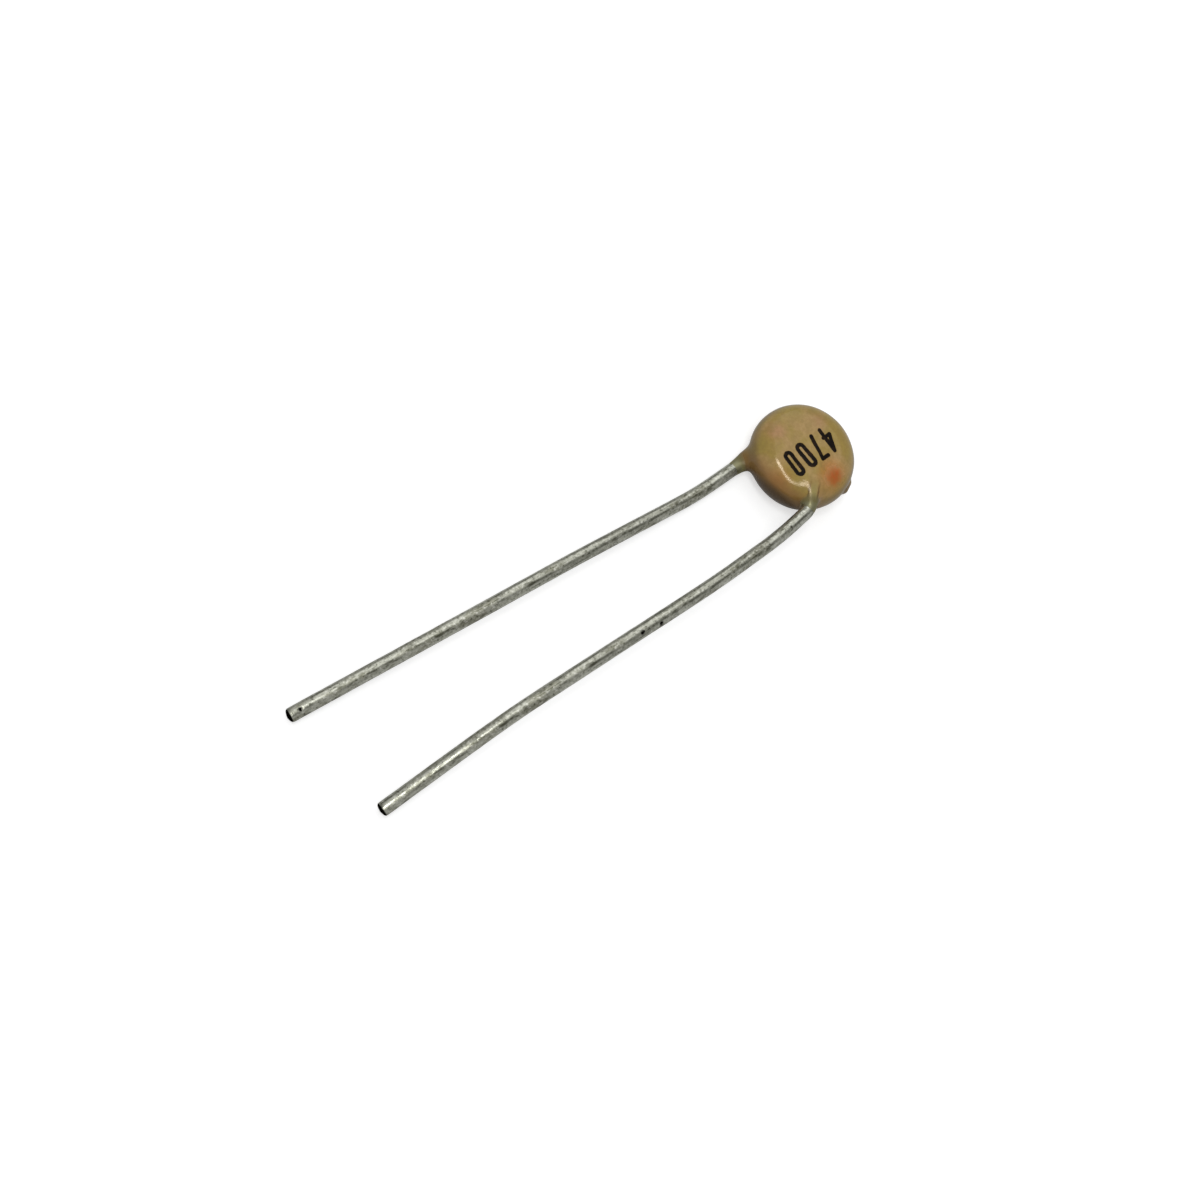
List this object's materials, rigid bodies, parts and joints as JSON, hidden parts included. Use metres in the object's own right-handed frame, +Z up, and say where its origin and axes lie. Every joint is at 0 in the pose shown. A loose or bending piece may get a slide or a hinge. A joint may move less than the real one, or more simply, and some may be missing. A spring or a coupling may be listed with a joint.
{
  "type": "ceramic disc capacitor",
  "caption": "Small radial ceramic disc capacitor: a lacquered round disc with long tinned wire leads, lying on its face.",
  "frame": {"origin": "middle of the bounding box, on the surface that the capacitor lies on", "axes": "+Z up from that surface; +Y from the lead tips towards the disc; +X to the right, seen from above with the leads pointing down the page"},
  "size_m": [0.0056, 0.0279, 0.0023],
  "materials": {
    "ceramic": "matt fired titanate ceramic",
    "silver_electrode": "matt fired silver",
    "solder": "smooth solder",
    "tinned_wire": "dull drawn tin over copper",
    "lacquer": "glossy dipped lacquer, ochre brown",
    "black_ink": "stamped black ink",
    "orange_ink": "soft-edged orange paint"
  },
  "bodies": {
    "root": {"ceramic_disc": "ceramic", "front_electrode": "silver_electrode", "back_electrode": "silver_electrode", "front_solder": "solder", "back_solder": "solder", "front_lead": "tinned_wire", "back_lead": "tinned_wire", "lacquer_coat": "lacquer", "value_mark": "black_ink", "colour_dot": "orange_ink"}
  },
  "joints": []
}
